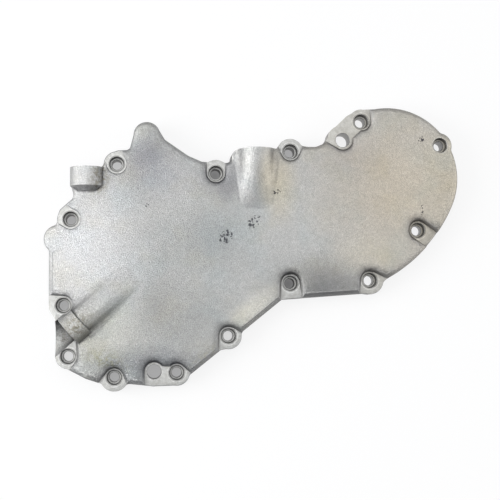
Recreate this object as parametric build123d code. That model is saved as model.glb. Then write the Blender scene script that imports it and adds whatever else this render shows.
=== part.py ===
"""Cam cover: a one-piece cast aluminium lid for the timing gears of a motorcycle engine.

All lengths are in millimetres. The gasket face lies in the plane z = 0 and the outer face looks along +Z.
The origin is on the pinion shaft's axis, in the gasket face. +X runs along the cover, towards its round end,
and +Y towards the edge that carries the two upright bosses.
"""
from build123d import *
from dataclasses import dataclass
from math import atan2, cos, degrees, hypot, radians, sin, sqrt
import os

# Heights above the gasket face
FACE_Z = 18.5            # broad outer face
SKIN = 5.5               # thickness of the roof over the gear space
PAD_DEPTH = 4.5          # how far a screw pad lies below the outer face
WALL = 7.0               # width of the gasket face along the rim
EDGE_R = 3.2             # rounding of the outer edge
ROOF_CHAMFER = 2.0       # slope where the walls of the gear space meet its roof
INNER_R = 2.5            # roundings of the gear space seen from below
CLEAR = 5.0              # how far a cutting shape runs past the metal

# Roundings of the outline seen from above
CONCAVE_R = 3.5
CONVEX_R = 4.5

# Round end: a large arc that runs tangentially into a flatter flank
LOBE_X, LOBE_Y = 161.5, 50.5
LOBE_R = 51.2
LOBE_START = 101.0       # degrees, where the large arc begins
FLANK_START = -24.0      # degrees, where the flank takes over
FLANK_END = -61.0
FLANK_R = 112.0

# Edges between the lugs
LOWER_EDGE_Y = -35.8
LEFT_EDGE_X = -82.0
PORT_EDGE_X = -77.5      # left edge beside the oil port
BOTTOM_EDGE_Y = -98.6
UPPER_LEFT_X = -65.0
PORT_TOP_Y = 56.4        # machined upper end of the breather port
DRIVE_TOP_Y = 70.8       # machined upper end of the drive boss

# Ear and bump of the rim, without holes
EAR_X, EAR_Y, EAR_R = -13.3, 80.0, 9.5
BUMP_X, BUMP_Y, BUMP_R = -75.8, 5.2, 10.0

# Screws
SCREW_D = 7.1            # clearance for a 1/4 inch screw
HEAD_D = 10.5            # counterbore for its fillister head
HEAD_DEPTH = 5.5
SPOT_D = 12.8            # spot face on a screw pad
SPOT_DEPTH = 0.25
LOCATOR_D = 10.2         # holes over the locating dowels
COLUMN_R = 8.6           # screw column inside the gear space

# Breather port: a tapped boss that lies along Y and opens at the upper edge
BREATHER_X, BREATHER_Z = -55.7, 14.0
BREATHER_R = 12.0
BREATHER_LENGTH = 13.4
BREATHER_NOSE = 3.6      # length of its bevelled lower end
BREATHER_NOSE_R = 7.6
BREATHER_TAP_D = 14.7    # 3/8 inch pipe thread, drilled size
BREATHER_TAP_DEPTH = 12.0
BREATHER_GALLERY_D = 7.0
BREATHER_GALLERY = 22.0  # its length, from the port's end into the gear space
PORT_WALL = 4.0          # metal between a tapped port and the gear space

# Oil port: a round collar whose axis points at the pinion shaft
OIL_ANGLE = 221.4        # degrees, from the pinion shaft towards the collar
OIL_FAR = 91.0           # distance of its outer end from the pinion shaft
OIL_LENGTH = 12.0
OIL_R = 11.6
OIL_Z = 16.5
OIL_EDGE_R = 0.9
OIL_TAP_D = 14.7
OIL_TAP_DEPTH = 14.0
OIL_GALLERY_D = 4.0
OIL_SEAT_Z = 14.2        # where the gallery ends, in the relief behind the pinion shaft
GALLERY_LAP = 0.5        # the gallery starts this far inside the tapped hole
SCOOP_R = 9.8            # room for the fitting in front of the collar
SCOOP_SIDE = 1.8         # the scoop lies this far beside the collar's axis
RIDGE_HALF = 10.2        # half width of the ridge over the oil gallery
RIDGE_RISE = 8.6         # its height above the outer face
RIDGE_START = 9.6        # from the port's outer end
RIDGE_LENGTH = 52.0
RIDGE_FOOT_R = 7.5
RIDGE_FALLS = [(0, 0), (0.3, 0.17), (0.62, 0.56), (1, 1)]  # share of the length, share of the rise lost

# Drive boss: a half-round swelling over the upright drive, closed at its top
DRIVE_X = 65.0
DRIVE_HALF = 12.8        # half width of the swelling at the outer face
DRIVE_RISE = 9.1
DRIVE_LENGTH = 43.0
DRIVE_FOOT_R = 8.0
DRIVE_FALLS = [(0, 0), (0.3, 0.14), (0.62, 0.52), (1, 1)]
DRIVE_WALL = 4.3
DRIVE_HOLLOW_R = 8.5
DRIVE_HOLLOW = 28.8      # length of the hollow inside the boss
DRIVE_HOLLOW_DROP = 1.5  # extra metal over its start
SINK = 0.15              # the feet of a swelling end this far below the outer face
SWELL_END = 0.05         # and so does its crest

# Shaft bushes and ribs in the gear space
SHAFT_RELIEF = 2.5       # room behind the end of each shaft
RELIEF_WALL = 1.5        # width of the shoulder that each bush is pressed against
BUSH_CHAMFER = 0.6       # lead on the bush's outer edge at its inner end
BOSS_GAP = 0.5           # the cut over a low boss runs this far past its side
PIN_D = 3.0
PIN_LENGTH = 8.0
PIN_CHAMFER = 0.4
RIB_W = 5.0
GALLERY_WALL_W = 10.0
RIB_DEPTH = 4.0
RIB_LAP = 1.4            # ribs run this far into the roof


@dataclass(frozen=True)
class Screw:
    """A screw hole: its place, the lug around it, its pad and the sector in which the pad opens."""
    x: float
    y: float
    lug_r: float
    pad_r: float
    depth: float = 0.0
    mouth: tuple = (0, 0)


@dataclass(frozen=True)
class Bush:
    """A pressed-in bush, its boss in the gear space and the side on which its lock pin sits."""
    name: str
    x: float
    y: float
    bore_d: float
    outer_d: float
    length: float
    end_z: float
    boss_wall: float
    pin_angle: float


SCREWS = [
    Screw(-34.6, 58.8, 9.3, 7.0, 1.2, (112, 112)),
    Screw(-66.9, 19.3, 9.6, 7.0, 1.2, (150, 150)),
    Screw(-71.8, -41.7, 10.1, 6.6, 3.4, (176, 250)),
    Screw(-68.4, -77.7, 8.8, 6.3, PAD_DEPTH, (95, 235)),
    Screw(-35.8, -92.6, 10.0, 6.2, PAD_DEPTH, (-130, -65)),
    Screw(8.3, -89.5, 9.3, 6.2, PAD_DEPTH, (-120, -40)),
    Screw(45.2, -63.6, 9.5, 6.6, PAD_DEPTH, (-92, -30)),
    Screw(89.8, -26.0, 0.0, 6.6, PAD_DEPTH, (-92, -80)),
    Screw(147.6, -23.9, 10.1, 6.6, PAD_DEPTH, (-95, -25)),
    Screw(183.3, 12.6, 0.0, 6.5, PAD_DEPTH, (-33.7, -33.7)),
    Screw(199.4, 74.3, 9.4, 0.0),
    Screw(141.9, 91.5, 9.0, 6.5, 3.2, (90, 145)),
    Screw(89.9, 69.0, 9.4, 6.5, 2.6, (65, 115)),
    Screw(36.2, 53.0, 9.7, 6.5, 3.6, (88, 92)),
]
LOWER_LOCATOR = Screw(-7.7, -88.8, 10.4, 6.8, PAD_DEPTH, (-90, -50))
UPPER_LOCATOR = Screw(128.3, 77.8, 11.1, 7.0, 3.2, (85, 150))
PAIRS = [(SCREWS[5], LOWER_LOCATOR), (SCREWS[11], UPPER_LOCATOR)]
PAD_BROW = 0.55          # radius where the wall meets the outer face, as a share of the depth
PAD_LEAN = 76.0          # degrees that the brow's arc spans
PAIR_NECK = 4.2          # half width of the strip between two pads
MOUTH_STEP = 30.0        # degrees between the straight runs that open a pad
MOUTH_REACH = 24.0       # their length, to beyond the outline

BUSHES = [
    Bush("pinion_shaft_bush", 0.0, 0.0, 14.3, 20.6, 12.0, 0.0, 5.2, 130.0),
    Bush("cam_shaft_bush", 67.2, 16.1, 22.2, 29.0, 10.5, 1.5, 5.0, 60.0),
    Bush("drive_shaft_bush", 161.5, 46.5, 16.0, 22.5, 10.5, 1.5, 5.0, 150.0),
]

ROOF_Z = FACE_Z - SKIN


def polar(x, y, radius, angle):
    """A point at a distance and an angle in degrees from another."""
    return (x + radius * cos(radians(angle)), y + radius * sin(radians(angle)))


def solid(shape):
    """The one solid of a shape."""
    parts = shape.solids()
    assert len(parts) == 1, f"expected one solid, got {len(parts)}"
    return parts[0]


def rounded(sketch, convex, concave):
    """Rounds the corners of a closed outline by growing, shrinking and growing it again."""
    grown = offset(sketch, concave)
    shrunk = offset(grown, -(concave + convex))
    return offset(shrunk, convex)


def outline():
    """The cover's outline seen from above: straight edges, the round end and a lug at each screw."""
    flank_x, flank_y = polar(LOBE_X, LOBE_Y, LOBE_R - FLANK_R, FLANK_START)
    lobe_top = polar(LOBE_X, LOBE_Y, LOBE_R, LOBE_START)
    flank_foot = polar(flank_x, flank_y, FLANK_R, FLANK_END)
    corners = [
        flank_foot,
        (149.0, LOWER_EDGE_Y + 2.7), (83.5, LOWER_EDGE_Y - 2.0),
        (53.0, -62.4), (46.0, -72.5), (39.6, -73.7),
        (17.0, -91.7), (8.3, BOTTOM_EDGE_Y),
        (-7.7, BOTTOM_EDGE_Y - 0.5), (-26.0, BOTTOM_EDGE_Y + 1.4),
        (-47.2, -96.3), (-55.6, -93.5), (-70.0, -86.0),
        (PORT_EDGE_X, -77.7), (PORT_EDGE_X, -52.0),
        (LEFT_EDGE_X, -41.1), (LEFT_EDGE_X, BUMP_Y),
        (BUMP_X, BUMP_Y + BUMP_R), (-75.2, 25.6),
        (UPPER_LEFT_X - 1.0, 33.8), (UPPER_LEFT_X, 36.5), (UPPER_LEFT_X - 1.5, 42.0),
        (UPPER_LEFT_X - 1.5, PORT_TOP_Y), (-44.0, PORT_TOP_Y),
        (-34.6, 68.8), (-25.6, 69.2),
        (EAR_X - EAR_R, EAR_Y), (EAR_X, EAR_Y), (EAR_X + 8.8, EAR_Y + 3.5),
        (-0.4, 76.8), (16.2, 65.4), (26.0, 61.2),
        (45.4, 60.4), (47.0, 62.0), (47.0, 66.0), (50.6, DRIVE_TOP_Y - 0.8),
        (61.0, DRIVE_TOP_Y), (80.0, DRIVE_TOP_Y), (90.2, 70.0),
        (99.5, 73.2), (103.0, 72.7), (108.5, 72.7), (114.2, 75.0),
        (124.3, 88.6), (131.0, 95.2), (139.5, 100.2),
        lobe_top,
    ]
    edges = [Line(a, b) for a, b in zip(corners, corners[1:])]
    edges.append(CenterArc((LOBE_X, LOBE_Y), LOBE_R, LOBE_START, FLANK_START - LOBE_START))
    edges.append(CenterArc((flank_x, flank_y), FLANK_R, FLANK_START, FLANK_END - FLANK_START))
    shape = make_face(Wire(edges))
    for hole in [*SCREWS, LOWER_LOCATOR, UPPER_LOCATOR]:
        if hole.lug_r:
            shape += Pos(hole.x, hole.y) * Circle(hole.lug_r)
    shape += Pos(EAR_X, EAR_Y) * Circle(EAR_R)
    shape += Pos(BUMP_X, BUMP_Y) * Circle(BUMP_R)
    return rounded(Sketch() + shape, CONVEX_R, CONCAVE_R)


def pad_profile(half_width, depth):
    """Half of a pad's cross-section: flat floor, steep wall and a wide rounded brow."""
    brow = PAD_BROW * depth
    lean = radians(PAD_LEAN)
    brow_z = FACE_Z - brow * sin(lean)
    floor_z = FACE_Z - depth
    brow_x = half_width + brow
    edge = (brow_x - brow * cos(lean), FACE_Z)
    middle = (brow_x - brow * cos(lean / 2), brow_z + brow * sin(lean / 2))
    return [
        Line((0, floor_z), (half_width, floor_z)),
        Line((half_width, floor_z), (half_width, brow_z)),
        ThreePointArc((half_width, brow_z), middle, edge),
        Line(edge, (edge[0], FACE_Z + CLEAR)),
        Line((edge[0], FACE_Z + CLEAR), (0, FACE_Z + CLEAR)),
        Line((0, FACE_Z + CLEAR), (0, floor_z)),
    ]


def pad_round(x, y, radius, depth):
    """The round part of a pad, as a cutting shape."""
    half = Plane.XZ * make_face(Wire(pad_profile(radius, depth)))
    return Pos(x, y) * revolve(half, Axis.Z)


def pad_channel(x, y, radius, depth, angle, length):
    """A straight run of a pad from its centre towards an angle, as a cutting shape."""
    half = make_face(Wire(pad_profile(radius, depth)))
    both = half + mirror(half, Plane.YZ)
    run = extrude(Plane.XZ * both, -length)
    return Pos(x, y) * Rot(0, 0, angle - 90) * run


def pads():
    """All the flat screw pads below the outer face, as cutting shapes."""
    cutters = []
    for hole in [*SCREWS, LOWER_LOCATOR, UPPER_LOCATOR]:
        if not hole.pad_r:
            continue
        cutters.append(pad_round(hole.x, hole.y, hole.pad_r, hole.depth))
        first, last = hole.mouth
        steps = max(1, round((last - first) / MOUTH_STEP))
        for i in range(steps + 1):
            angle = first + (last - first) * i / steps
            cutters.append(pad_channel(hole.x, hole.y, hole.pad_r, hole.depth, angle, MOUTH_REACH))
    for a, b in PAIRS:
        length = hypot(b.x - a.x, b.y - a.y)
        angle = degrees(atan2(b.y - a.y, b.x - a.x))
        cutters.append(pad_channel(a.x, a.y, PAIR_NECK, a.depth, angle, length))
    return cutters


def swelling(length, half_width, rise, falls, foot_r):
    """A rounded swelling with hollow feet along +Y, of constant width, which sinks into the outer face."""
    base = FACE_Z - SINK
    floor_z = ROOF_Z
    sections = []
    for share_of_length, fall in falls:
        distance = share_of_length * length
        height = SINK + rise - fall * (rise + SWELL_END)
        radius = (half_width ** 2 + height ** 2) / (2 * height)
        peak = base + height
        centre_z = peak - radius
        foot_z = base + foot_r
        foot_x = sqrt((radius + foot_r) ** 2 - (foot_z - centre_z) ** 2)
        share = radius / (radius + foot_r)
        join_x, join_z = foot_x * share, centre_z + (foot_z - centre_z) * share
        half = atan2(foot_z - join_z, foot_x - join_x) / 2 + radians(45)
        mid_x, mid_z = foot_x - foot_r * cos(half), foot_z - foot_r * sin(half)
        outline_edges = [
            Line((-foot_x, floor_z), (-foot_x, base)),
            ThreePointArc((-foot_x, base), (-mid_x, mid_z), (-join_x, join_z)),
            ThreePointArc((-join_x, join_z), (0, peak), (join_x, join_z)),
            ThreePointArc((join_x, join_z), (mid_x, mid_z), (foot_x, base)),
            Line((foot_x, base), (foot_x, floor_z)),
            Line((foot_x, floor_z), (-foot_x, floor_z)),
        ]
        section = make_face(Wire(outline_edges))
        sections.append(Plane((0, distance, 0), x_dir=(1, 0, 0), z_dir=(0, -1, 0)) * section)
    return loft(sections)


def tall(shape):
    """The outline as a prism that reaches above every swelling."""
    return extrude(shape, OIL_Z + OIL_R + CLEAR)


def oil_plane():
    """The plane of the oil port's outer end; its normal points out of the port and its Y axis points up."""
    x, y = polar(0, 0, OIL_FAR, OIL_ANGLE)
    along = (cos(radians(OIL_ANGLE)), sin(radians(OIL_ANGLE)), 0)
    across = (-along[1], along[0], 0)
    return Plane((x, y, OIL_Z), x_dir=across, z_dir=along)


def breather_plane():
    """The plane of the breather port's upper end; its normal points out of the port."""
    return Plane((BREATHER_X, PORT_TOP_Y, BREATHER_Z), x_dir=(-1, 0, 0), z_dir=(0, 1, 0))


def inward(radius, length):
    """A cylinder below the plane it is placed on."""
    return Cylinder(radius, length, align=(Align.CENTER, Align.CENTER, Align.MAX))


def outward(radius, length):
    """A cylinder above the plane it is placed on."""
    return Cylinder(radius, length, align=(Align.CENTER, Align.CENTER, Align.MIN))


def drive_boss():
    """The swelling over the upright drive: highest at the upper edge, it fades into the outer face."""
    shape = swelling(DRIVE_LENGTH, DRIVE_HALF, DRIVE_RISE, DRIVE_FALLS, DRIVE_FOOT_R)
    return Pos(DRIVE_X, DRIVE_TOP_Y) * Rot(0, 0, 180) * shape


def oil_ridge():
    """The swelling over the oil gallery: it leaves the collar and fades towards the pinion shaft."""
    shape = swelling(RIDGE_LENGTH, RIDGE_HALF, RIDGE_RISE, RIDGE_FALLS, RIDGE_FOOT_R)
    x, y = polar(0, 0, OIL_FAR - RIDGE_START, OIL_ANGLE)
    return Pos(x, y) * Rot(0, 0, OIL_ANGLE - 180 - 90) * shape


def oil_collar():
    """The round collar of the oil port, with small rounded rims."""
    collar = inward(OIL_R, OIL_LENGTH)
    return oil_plane() * fillet(collar.edges().filter_by(GeomType.CIRCLE), OIL_EDGE_R)


def breather_boss():
    """The breather port's boss: a lying cylinder with a bevelled lower end."""
    barrel = inward(BREATHER_R, BREATHER_LENGTH)
    nose = Pos(0, 0, -BREATHER_LENGTH) * Cone(
        BREATHER_NOSE_R, BREATHER_R, BREATHER_NOSE, align=(Align.CENTER, Align.CENTER, Align.MAX))
    return breather_plane() * (barrel + nose)


def gear_space(shape):
    """The hollow behind the roof, as a cutting shape: it leaves the rim, the screw columns and the bosses."""
    floor = offset(shape, -WALL)
    for hole in [*SCREWS, LOWER_LOCATOR, UPPER_LOCATOR]:
        floor -= Pos(hole.x, hole.y) * Circle(COLUMN_R)
    floor -= Rot(0, 0, OIL_ANGLE) * Pos(OIL_FAR, 0) * Rectangle(2 * (OIL_TAP_DEPTH + PORT_WALL), 2 * OIL_R)
    floor -= Pos(BREATHER_X, PORT_TOP_Y) * Rectangle(2 * BREATHER_R, 2 * (BREATHER_TAP_DEPTH + PORT_WALL))
    floor = rounded(Sketch() + floor, INNER_R, INNER_R)
    for bush in BUSHES:
        floor -= Pos(bush.x, bush.y) * Circle(bush.outer_d / 2 + bush.boss_wall)
    block = extrude(floor, ROOF_Z)
    roof = block.faces().sort_by(Axis.Z)[-1]
    return chamfer(roof.edges(), ROOF_CHAMFER)


def drive_hollow():
    """The hollow inside the drive boss, as a cutting shape."""
    end_y = DRIVE_TOP_Y - WALL
    lean = degrees(atan2(DRIVE_RISE, DRIVE_LENGTH))
    axis_z = FACE_Z + DRIVE_RISE - DRIVE_WALL - DRIVE_HOLLOW_R - DRIVE_HOLLOW_DROP
    place = Plane((DRIVE_X, end_y, axis_z), x_dir=(1, 0, 0), z_dir=(0, 1, 0))
    return place * Rot(lean, 0, 0) * inward(DRIVE_HOLLOW_R, DRIVE_HOLLOW)


def ribs():
    """Low stiffening ribs under the roof, from the bosses to the rim, and the wall under the oil gallery."""
    top = ROOF_Z + RIB_LAP
    low = ROOF_Z - RIB_DEPTH
    pinion, cam, drive = BUSHES
    lines = [
        (pinion, polar(0, 0, OIL_FAR - OIL_LENGTH - CLEAR, OIL_ANGLE), GALLERY_WALL_W),
        (pinion, (LEFT_EDGE_X + WALL, BUMP_Y), RIB_W),
        (pinion, (EAR_X, EAR_Y - CLEAR), RIB_W),
        (pinion, (SCREWS[5].x, SCREWS[5].y + CLEAR), RIB_W),
        (cam, (SCREWS[7].x, SCREWS[7].y + CLEAR), RIB_W),
        (cam, (SCREWS[6].x, SCREWS[6].y + CLEAR), RIB_W),
        (drive, polar(LOBE_X, LOBE_Y, LOBE_R - CLEAR, 0), RIB_W),
        (drive, polar(LOBE_X, LOBE_Y, LOBE_R - CLEAR, 90), RIB_W),
        (drive, (SCREWS[8].x, SCREWS[8].y + CLEAR), RIB_W),
    ]
    shapes = []
    for bush, end, width in lines:
        start_r = bush.outer_d / 2 + bush.boss_wall / 2
        angle = degrees(atan2(end[1] - bush.y, end[0] - bush.x))
        length = hypot(end[0] - bush.x, end[1] - bush.y) - start_r
        bar = Box(length, width, top - low, align=(Align.MIN, Align.CENTER, Align.MIN))
        shapes.append(Pos(bush.x, bush.y, low) * Rot(0, 0, angle) * Pos(start_r, 0, 0) * bar)
    return shapes


def pin_place(bush):
    """Where a bush's lock pin sits: on the seam between the bush and its boss."""
    x, y = polar(bush.x, bush.y, bush.outer_d / 2, bush.pin_angle)
    return Pos(x, y, bush.end_z)


def holes():
    """The drilled holes with their counterbores, as cutting shapes."""
    cutters = []
    for hole in SCREWS:
        cutters.append(Pos(hole.x, hole.y) * outward(SCREW_D / 2, FACE_Z))
        seat_z = FACE_Z - hole.depth - HEAD_DEPTH
        cutters.append(Pos(hole.x, hole.y, seat_z) * outward(HEAD_D / 2, OIL_Z + OIL_R))
        if hole.pad_r:
            spot_z = FACE_Z - hole.depth - SPOT_DEPTH
            cutters.append(Pos(hole.x, hole.y, spot_z) * outward(SPOT_D / 2, OIL_R))
    for hole in (LOWER_LOCATOR, UPPER_LOCATOR):
        cutters.append(Pos(hole.x, hole.y) * outward(LOCATOR_D / 2, FACE_Z))
    return cutters


def seats():
    """The bush seats, the relief behind each shaft end and the lock pin holes, as cutting shapes."""
    cutters = []
    for bush in BUSHES:
        place = Pos(bush.x, bush.y)
        depth = bush.end_z + bush.length
        if bush.end_z:
            cutters.append(place * outward(bush.outer_d / 2 + bush.boss_wall + BOSS_GAP, bush.end_z))
        cutters.append(place * outward(bush.outer_d / 2, depth))
        cutters.append(place * outward(bush.outer_d / 2 - RELIEF_WALL, depth + SHAFT_RELIEF))
        cutters.append(pin_place(bush) * outward(PIN_D / 2, PIN_LENGTH))
    return cutters


def ports():
    """The tapped ports and the galleries behind them, as cutting shapes."""
    oil_tap = oil_plane() * inward(OIL_TAP_D / 2, OIL_TAP_DEPTH)
    breather_tap = breather_plane() * inward(BREATHER_TAP_D / 2, BREATHER_TAP_DEPTH)
    breather_gallery = breather_plane() * inward(BREATHER_GALLERY_D / 2, BREATHER_GALLERY)
    fall = degrees(atan2(OIL_Z - OIL_SEAT_Z, OIL_FAR - OIL_TAP_DEPTH))
    start = oil_plane() * Pos(0, 0, GALLERY_LAP - OIL_TAP_DEPTH)
    oil_gallery = start * Rot(-fall, 0, 0) * inward(OIL_GALLERY_D / 2, OIL_FAR - OIL_TAP_DEPTH)
    return [oil_tap, oil_gallery, breather_tap, breather_gallery]


def casting():
    """The cast cover itself, with all its machined holes."""
    shape = outline()
    body = extrude(shape, FACE_Z)
    brow = body.faces().sort_by(Axis.Z)[-1]
    body = fillet(brow.edges(), EDGE_R)
    body -= pads()
    scoop = oil_plane() * Pos(-SCOOP_SIDE, 0, 0) * outward(SCOOP_R, 2 * OIL_R)
    body = body + (drive_boss() & tall(shape)) + oil_ridge() - scoop + oil_collar() + breather_boss()
    body -= [gear_space(shape), drive_hollow()]
    body += ribs()
    body -= [*holes(), *seats(), *ports()]
    return body


def bushing(bush):
    """A plain bronze bush with a lead at its inner end, and the half round of its lock pin's hole."""
    blank = outward(bush.outer_d / 2, bush.length)
    lead = blank.edges().filter_by(GeomType.CIRCLE).sort_by(Axis.Z)[-1]
    ring = chamfer(lead, BUSH_CHAMFER) - outward(bush.bore_d / 2, bush.length)
    return Pos(bush.x, bush.y, bush.end_z) * ring - pin_place(bush) * outward(PIN_D / 2, PIN_LENGTH)


def lock_pin(bush):
    """The pin that keeps a bush from turning in its boss."""
    pin = outward(PIN_D / 2, PIN_LENGTH)
    return pin_place(bush) * chamfer(pin.edges().filter_by(GeomType.CIRCLE), PIN_CHAMFER)


pieces = {"cover_casting": casting()}
for bush in BUSHES:
    pieces[bush.name] = bushing(bush)
    pieces[bush.name.replace("_bush", "_bush_pin")] = lock_pin(bush)

os.makedirs("parts", exist_ok=True)
for name, piece in pieces.items():
    export_step(solid(piece), f"parts/{name}.step")
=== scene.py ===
"""Looks of the cam cover: a satin aluminium casting with machined seats, bronze bushes and tapped ports.

Lengths in the dataclasses are millimetres in the part's own frame, unless a name ends in _m.
The gasket face lies in z = 0, the outer face looks along +Z, and the pinion shaft's axis is the origin.
"""

import logging
from dataclasses import dataclass, field
from enum import Enum
from math import cos, hypot, radians, sin

import bmesh
import bpy
import numpy as np
from mathutils import Matrix, Vector, bvhtree, geometry, kdtree, noise


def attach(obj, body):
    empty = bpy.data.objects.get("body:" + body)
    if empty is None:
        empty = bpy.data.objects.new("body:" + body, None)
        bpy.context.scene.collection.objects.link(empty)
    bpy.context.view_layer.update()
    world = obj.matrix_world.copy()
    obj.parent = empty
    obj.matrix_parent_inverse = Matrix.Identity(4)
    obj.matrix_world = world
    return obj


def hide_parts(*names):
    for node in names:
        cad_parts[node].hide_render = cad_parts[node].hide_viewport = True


log = logging.getLogger("cam_cover")
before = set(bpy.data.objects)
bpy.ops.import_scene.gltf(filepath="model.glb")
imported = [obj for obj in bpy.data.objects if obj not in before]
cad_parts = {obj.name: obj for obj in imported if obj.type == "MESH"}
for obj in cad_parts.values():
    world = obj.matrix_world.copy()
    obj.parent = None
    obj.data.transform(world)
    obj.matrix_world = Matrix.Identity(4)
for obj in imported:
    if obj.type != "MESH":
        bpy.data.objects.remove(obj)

MM = 0.001
ENDLESS_M = 1000.0
Triple = tuple[float, float, float]
RGB = Triple
Socket = bpy.types.NodeSocket
Body = bmesh.types.BMesh
Edges = list[bmesh.types.BMEdge]


class Region(Enum):
    """The kinds of surface on the casting, in the order of its material slots."""
    SKIN = 0
    MACHINED = 1
    DRILLED = 2
    PAD = 3


class Blend(Enum):
    """Ways in which a colour is laid over another."""
    MIX = "MIX"
    MULTIPLY = "MULTIPLY"
    ADD = "ADD"


def srgb(red: int, green: int, blue: int) -> RGB:
    """A linear colour from its values on a screen.

    Args:
        red: Red, 0 to 255.
        green: Green, 0 to 255.
        blue: Blue, 0 to 255.

    Returns:
        The colour as Blender's shaders take it.
    """
    def linear(value: int) -> float:
        """One channel, made linear."""
        share = value / 255
        return share / 12.92 if share <= 0.04045 else ((share + 0.055) / 1.055) ** 2.4
    return linear(red), linear(green), linear(blue)


class ShaderTree:
    """A node tree with short calls for the nodes that the finishes and the sky share."""

    def __init__(self, name: str, world: bool = False) -> None:
        """Starts an empty tree.

        Args:
            name: The name of the material or world that holds it.
            world: Whether that is a world.
        """
        self.owner = (bpy.data.worlds if world else bpy.data.materials).new(name)
        self.owner.use_nodes = True
        self.tree = self.owner.node_tree
        self.tree.nodes.clear()
        self.coordinates = self.add("ShaderNodeTexCoord").outputs

    def add(self, kind: str, **settings: object) -> bpy.types.Node:
        """A new node.

        Args:
            kind: Blender's name for its kind.
            settings: Its settings by name.

        Returns:
            The node.
        """
        node = self.tree.nodes.new(kind)
        for key, value in settings.items():
            setattr(node, key, value)
        return node

    def join(self, source: object, socket: Socket) -> None:
        """Feeds an input.

        Args:
            source: An output to link, or a plain value.
            socket: The input. One for a colour takes three numbers.
        """
        if isinstance(source, Socket):
            self.tree.links.new(source, socket)
        else:
            socket.default_value = (*source, 1) if socket.type == "RGBA" else source

    def math(self, operation: str, *values: object) -> Socket:
        """A maths node on sockets or numbers.

        Args:
            operation: Blender's name for what it does.
            values: What it works on.

        Returns:
            The result.
        """
        node = self.add("ShaderNodeMath", operation=operation)
        for value, socket in zip(values, node.inputs):
            self.join(value, socket)
        return node.outputs[0]

    def times(self, one: object, other: object) -> Socket:
        """The product of two sockets or numbers."""
        return self.math("MULTIPLY", one, other)

    def mark(self, name: str) -> Socket:
        """A mark from 0 to 1 that the casting's mesh carries."""
        return self.add("ShaderNodeAttribute", attribute_name=name).outputs["Fac"]

    def ramp(self, value: Socket, low: float, high: float, out_low: float = 0.0,
             out_high: float = 1.0) -> Socket:
        """A smooth step from one number to another.

        Args:
            value: The socket to read.
            low: Its value where the step starts.
            high: Its value where the step ends.
            out_low: What comes out below the step.
            out_high: What comes out above it.

        Returns:
            The result.
        """
        node = self.add("ShaderNodeMapRange", interpolation_type="SMOOTHSTEP")
        for name, number in (("Value", value), ("From Min", low), ("From Max", high),
                             ("To Min", out_low), ("To Max", out_high)):
            self.join(number, node.inputs[name])
        return node.outputs[0]

    def moved(self, place: Triple, turn: float, scale: Triple) -> Socket:
        """Object coordinates seen from a place on the piece.

        Args:
            place: The place, in metres.
            turn: Turn about Z, in degrees.
            scale: Radii of the unit pattern, in metres.

        Returns:
            The moved coordinates.
        """
        node = self.add("ShaderNodeMapping", vector_type="TEXTURE")
        for name, value in (("Vector", self.coordinates["Object"]), ("Location", place),
                            ("Rotation", (0, 0, radians(turn))), ("Scale", scale)):
            self.join(value, node.inputs[name])
        return node.outputs[0]

    def steep(self, level: float, upright: float) -> Socket:
        """How steep the surface is: 0 where it lies flat, 1 where it stands upright.

        Args:
            level: Share of the normal that points up where the step starts.
            upright: That share where the step ends.

        Returns:
            The steepness.
        """
        split = self.add("ShaderNodeSeparateXYZ")
        self.join(self.coordinates["Normal"], split.inputs[0])
        return self.ramp(self.math("ABSOLUTE", split.outputs["Z"]), upright, level, 1.0, 0.0)

    def colour(self, blend: Blend, factor: object, below: object, above: object) -> Socket:
        """Lays one colour over another.

        Args:
            blend: How it is laid.
            factor: How strongly, from 0 to 1.
            below: The colour below.
            above: The colour on top.

        Returns:
            The colour that comes of it.
        """
        node = self.add("ShaderNodeMix", data_type="RGBA", blend_type=blend.value)
        for value, number in ((factor, 0), (below, 6), (above, 7)):
            self.join(value, node.inputs[number])
        return node.outputs[2]

    def bump(self, height: object, height_m: float, share: object, below: Socket | None = None) -> Socket:
        """Relief from a height.

        Args:
            height: The socket with the height, 0 to 1.
            height_m: How tall 1 is, in metres.
            share: Its strength, a number or a socket.
            below: Relief that it is laid on.

        Returns:
            The changed normal.
        """
        node = self.add("ShaderNodeBump")
        for name, value in (("Distance", height_m), ("Strength", share), ("Height", height)):
            self.join(value, node.inputs[name])
        if below:
            self.join(below, node.inputs["Normal"])
        return node.outputs[0]

    def choose(self, factor: object, first: Socket, second: Socket) -> Socket:
        """Two surfaces in one.

        Args:
            factor: 0 for the first alone, 1 for the second alone.
            first: The first surface.
            second: The second surface.

        Returns:
            The mixed surface.
        """
        node = self.add("ShaderNodeMixShader")
        for value, socket in zip((factor, first, second), node.inputs):
            self.join(value, socket)
        return node.outputs[0]

    def end(self, surface: Socket, kind: str = "ShaderNodeOutputMaterial") -> bpy.types.ID:
        """Ends the tree in its output, and gives the material or world."""
        self.join(surface, self.add(kind).inputs["Surface"])
        return self.owner

    def metal(self, colour: object, roughness: object, normal: Socket) -> bpy.types.Material:
        """Ends the tree in bare metal.

        Args:
            colour: Its colour, a tuple or a socket.
            roughness: A number or a socket.
            normal: The relief.

        Returns:
            The finished material.
        """
        shader = self.add("ShaderNodeBsdfPrincipled")
        for name, value in (("Metallic", 1.0), ("Base Color", colour), ("Roughness", roughness),
                            ("Normal", normal)):
            self.join(value, shader.inputs[name])
        return self.end(shader.outputs[0])


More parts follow.
